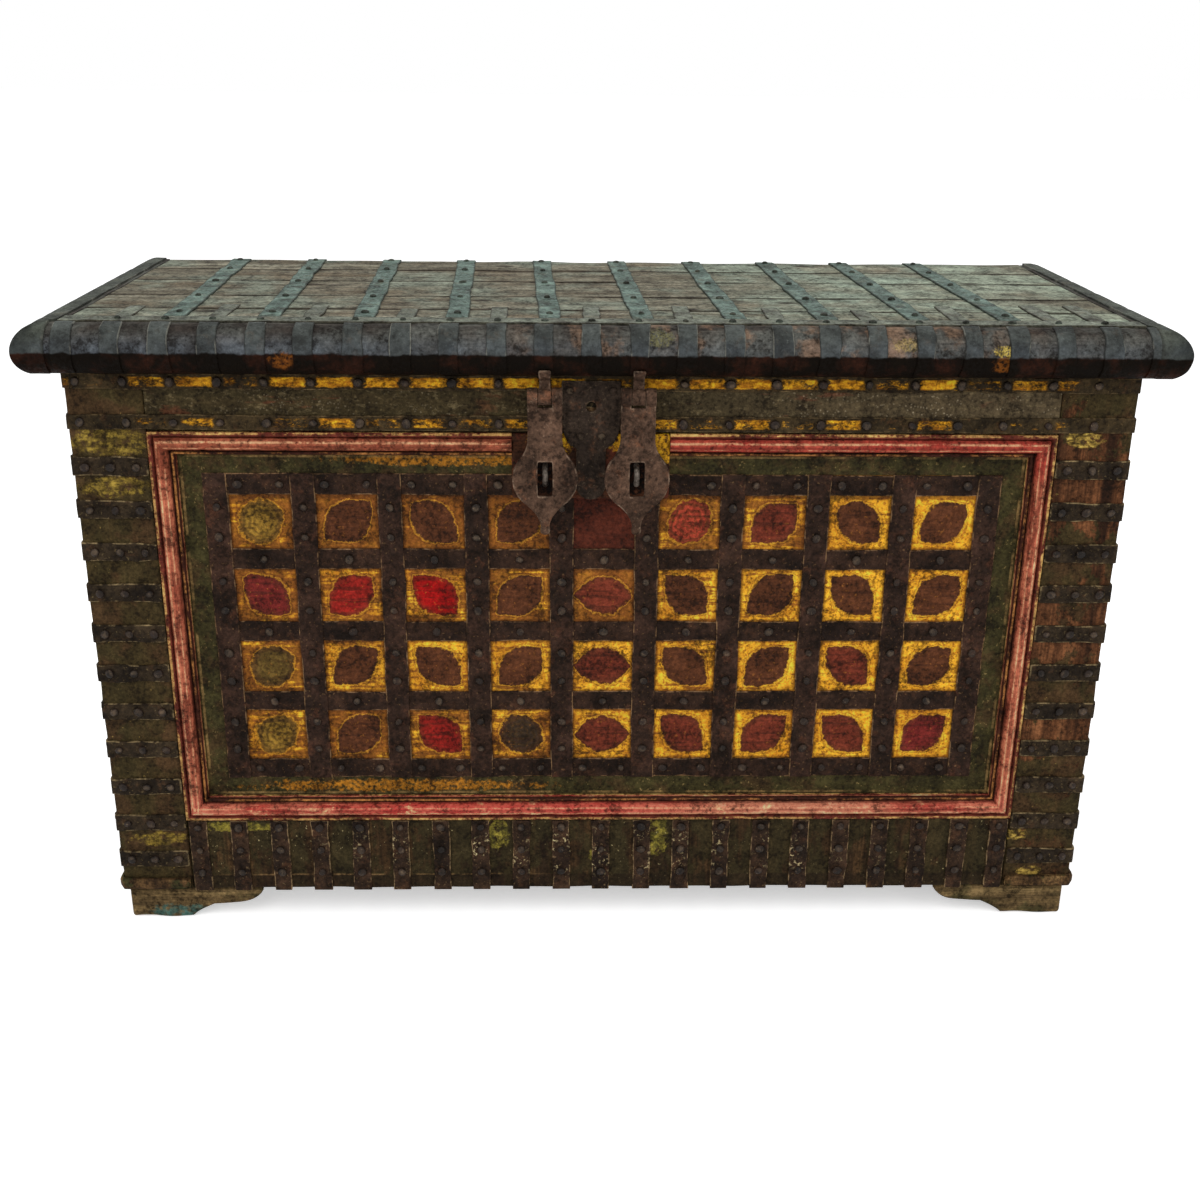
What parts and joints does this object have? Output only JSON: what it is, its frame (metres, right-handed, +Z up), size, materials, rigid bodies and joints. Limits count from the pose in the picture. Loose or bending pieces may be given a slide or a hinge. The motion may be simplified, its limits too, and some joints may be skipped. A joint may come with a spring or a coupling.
{
  "type": "storage chest",
  "caption": "Painted wooden dowry chest bound with iron straps and studs, on bracket feet, with a hinged overhanging lid and swinging hasps over staples.",
  "frame": {"origin": "on the floor, under the middle of the overall box", "axes": "+X along the front to the viewer's right, +Y from the front to the back, +Z up"},
  "size_m": [1.384, 0.554, 0.8305],
  "materials": {
    "post_wood": "old, worn, painted or oiled",
    "rail_wood": "old, worn, painted or oiled",
    "panel_paint": "old, worn, painted or oiled",
    "moulding_paint": "old, worn, painted or oiled",
    "board_wood": "old, worn, painted or oiled",
    "foot_wood": "old, worn, painted or oiled",
    "lid_wood": "old, worn, painted or oiled",
    "band_iron": "hand-forged, dark, rusted",
    "lid_iron": "hand-forged, dark, rusted",
    "hasp_iron": "hand-forged, dark, rusted",
    "nail_iron": "hand-forged, dark, rusted"
  },
  "bodies": {
    "carcase": {"front_left_post": "post_wood", "back_left_post": "post_wood", "front_right_post": "post_wood", "back_right_post": "post_wood", "front_top_rail": "rail_wood", "front_bottom_rail": "rail_wood", "front_panel": "panel_paint", "left_side_boards": "board_wood", "right_side_boards": "board_wood", "back_boards": "board_wood", "floor_boards": "board_wood", "front_left_foot": "foot_wood", "front_right_foot": "foot_wood", "back_left_foot": "foot_wood", "back_right_foot": "foot_wood", "moulding_top_left": "moulding_paint", "moulding_top_right": "moulding_paint", "moulding_bottom": "moulding_paint", "moulding_left": "moulding_paint", "moulding_right": "moulding_paint", "left_base_bead": "foot_wood", "right_base_bead": "foot_wood", "grid_level_straps": "band_iron", "grid_upright_straps": "band_iron", "grid_studs": "nail_iron", "left_post_bands": "band_iron", "right_post_bands": "band_iron", "bottom_rail_bands": "band_iron", "post_studs": "nail_iron", "bottom_rail_studs": "nail_iron", "frieze_lower_strap": "band_iron", "frieze_upper_strap": "band_iron", "frieze_studs": "nail_iron", "lock_block": "rail_wood", "lock_plate": "hasp_iron", "lock_plate_rivets": "nail_iron", "left_staple": "hasp_iron", "right_staple": "hasp_iron", "hinge_body_leaves": "hasp_iron", "hinge_pins": "hasp_iron", "hinge_nails": "nail_iron"},
    "lid": {"lid_front_nose": "lid_wood", "lid_left_nose": "lid_wood", "lid_right_nose": "lid_wood", "lid_back_rail": "lid_wood", "lid_board_1": "lid_wood", "lid_board_2": "lid_wood", "lid_board_3": "lid_wood", "lid_board_4": "lid_wood", "lid_battens": "lid_wood", "lid_top_straps": "lid_iron", "lid_end_straps": "lid_iron", "lid_nose_bands": "lid_iron", "lid_front_edging": "lid_iron", "lid_studs": "nail_iron", "hinge_lid_leaves": "hasp_iron", "hasp_hangers": "hasp_iron", "hasp_pins": "hasp_iron"},
    "left_hasp": {"left_hasp": "hasp_iron"},
    "right_hasp": {"right_hasp": "hasp_iron"}
  },
  "joints": [
    {"name": "lid_hinge", "type": "hinge", "parent": "carcase", "child": "lid", "pos_m": [0, 0.247, 0.761], "axis": [-1, 0, 0], "range_deg": [0, 98]},
    {"name": "left_hasp_swing", "type": "hinge", "parent": "lid", "child": "left_hasp", "pos_m": [-0.074, -0.259, 0.741], "axis": [-1, 0, 0], "range_deg": [-8, 140]},
    {"name": "right_hasp_swing", "type": "hinge", "parent": "lid", "child": "right_hasp", "pos_m": [0.038, -0.259, 0.741], "axis": [-1, 0, 0], "range_deg": [-8, 140]}
  ]
}
